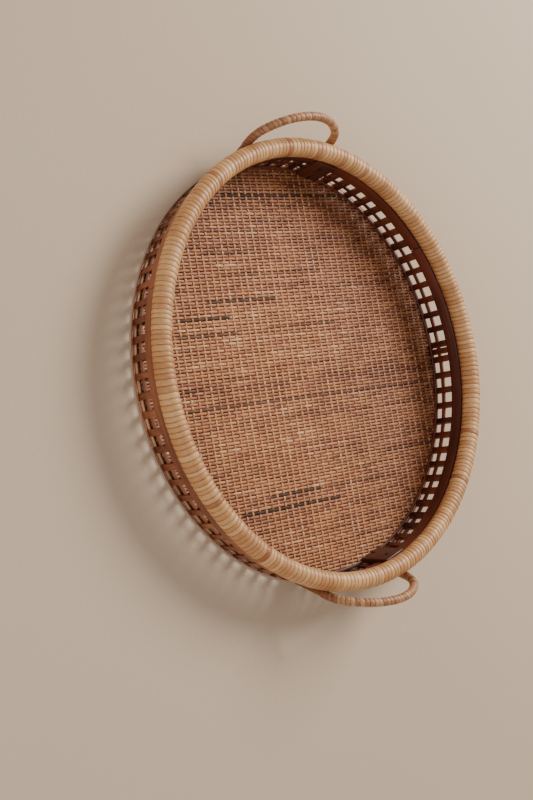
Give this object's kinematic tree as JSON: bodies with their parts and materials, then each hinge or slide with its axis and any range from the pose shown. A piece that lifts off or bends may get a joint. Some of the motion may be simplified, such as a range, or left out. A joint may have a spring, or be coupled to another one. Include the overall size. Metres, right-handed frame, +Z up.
{
  "type": "serving tray",
  "caption": "Round woven rattan serving tray with a wrapped tube rim, an open slatted gallery wall and two bent loop handles.",
  "frame": {"origin": "centre of the underside, on the surface that the tray stands on", "axes": "+X through the middle of the two handles, +Z up out of the tray, +Y across it"},
  "size_m": [0.427, 0.3968, 0.0728],
  "materials": {
    "peel_wrap": "glossy light rattan peel",
    "pole": "smooth bent rattan pole",
    "brown_split": "satin split rattan, mid brown",
    "dark_split": "satin split rattan, dark red-brown",
    "weave": "woven rattan strands, mixed browns",
    "steel": "dull dark steel"
  },
  "bodies": {
    "root": {"rim_core": "pole", "rim_wrap": "peel_wrap", "rim_pins": "steel", "upper_inner_hoop": "dark_split", "upper_outer_hoop": "brown_split", "upper_spacer_hoop": "brown_split", "inner_staves": "dark_split", "outer_staves": "brown_split", "middle_hoop": "dark_split", "lower_inner_hoop": "brown_split", "lower_spacer_hoop": "brown_split", "bottom_outer_ring": "brown_split", "hoop_brads": "steel", "ring_brads": "steel", "base_warps": "weave", "base_wefts": "weave", "base_under_ring": "brown_split", "base_battens": "brown_split", "left_handle_core": "pole", "left_handle_wrap": "peel_wrap", "left_leg_boards": "dark_split", "left_handle_nails": "steel", "right_handle_core": "pole", "right_handle_wrap": "peel_wrap", "right_leg_boards": "dark_split", "right_handle_nails": "steel"}
  },
  "joints": []
}
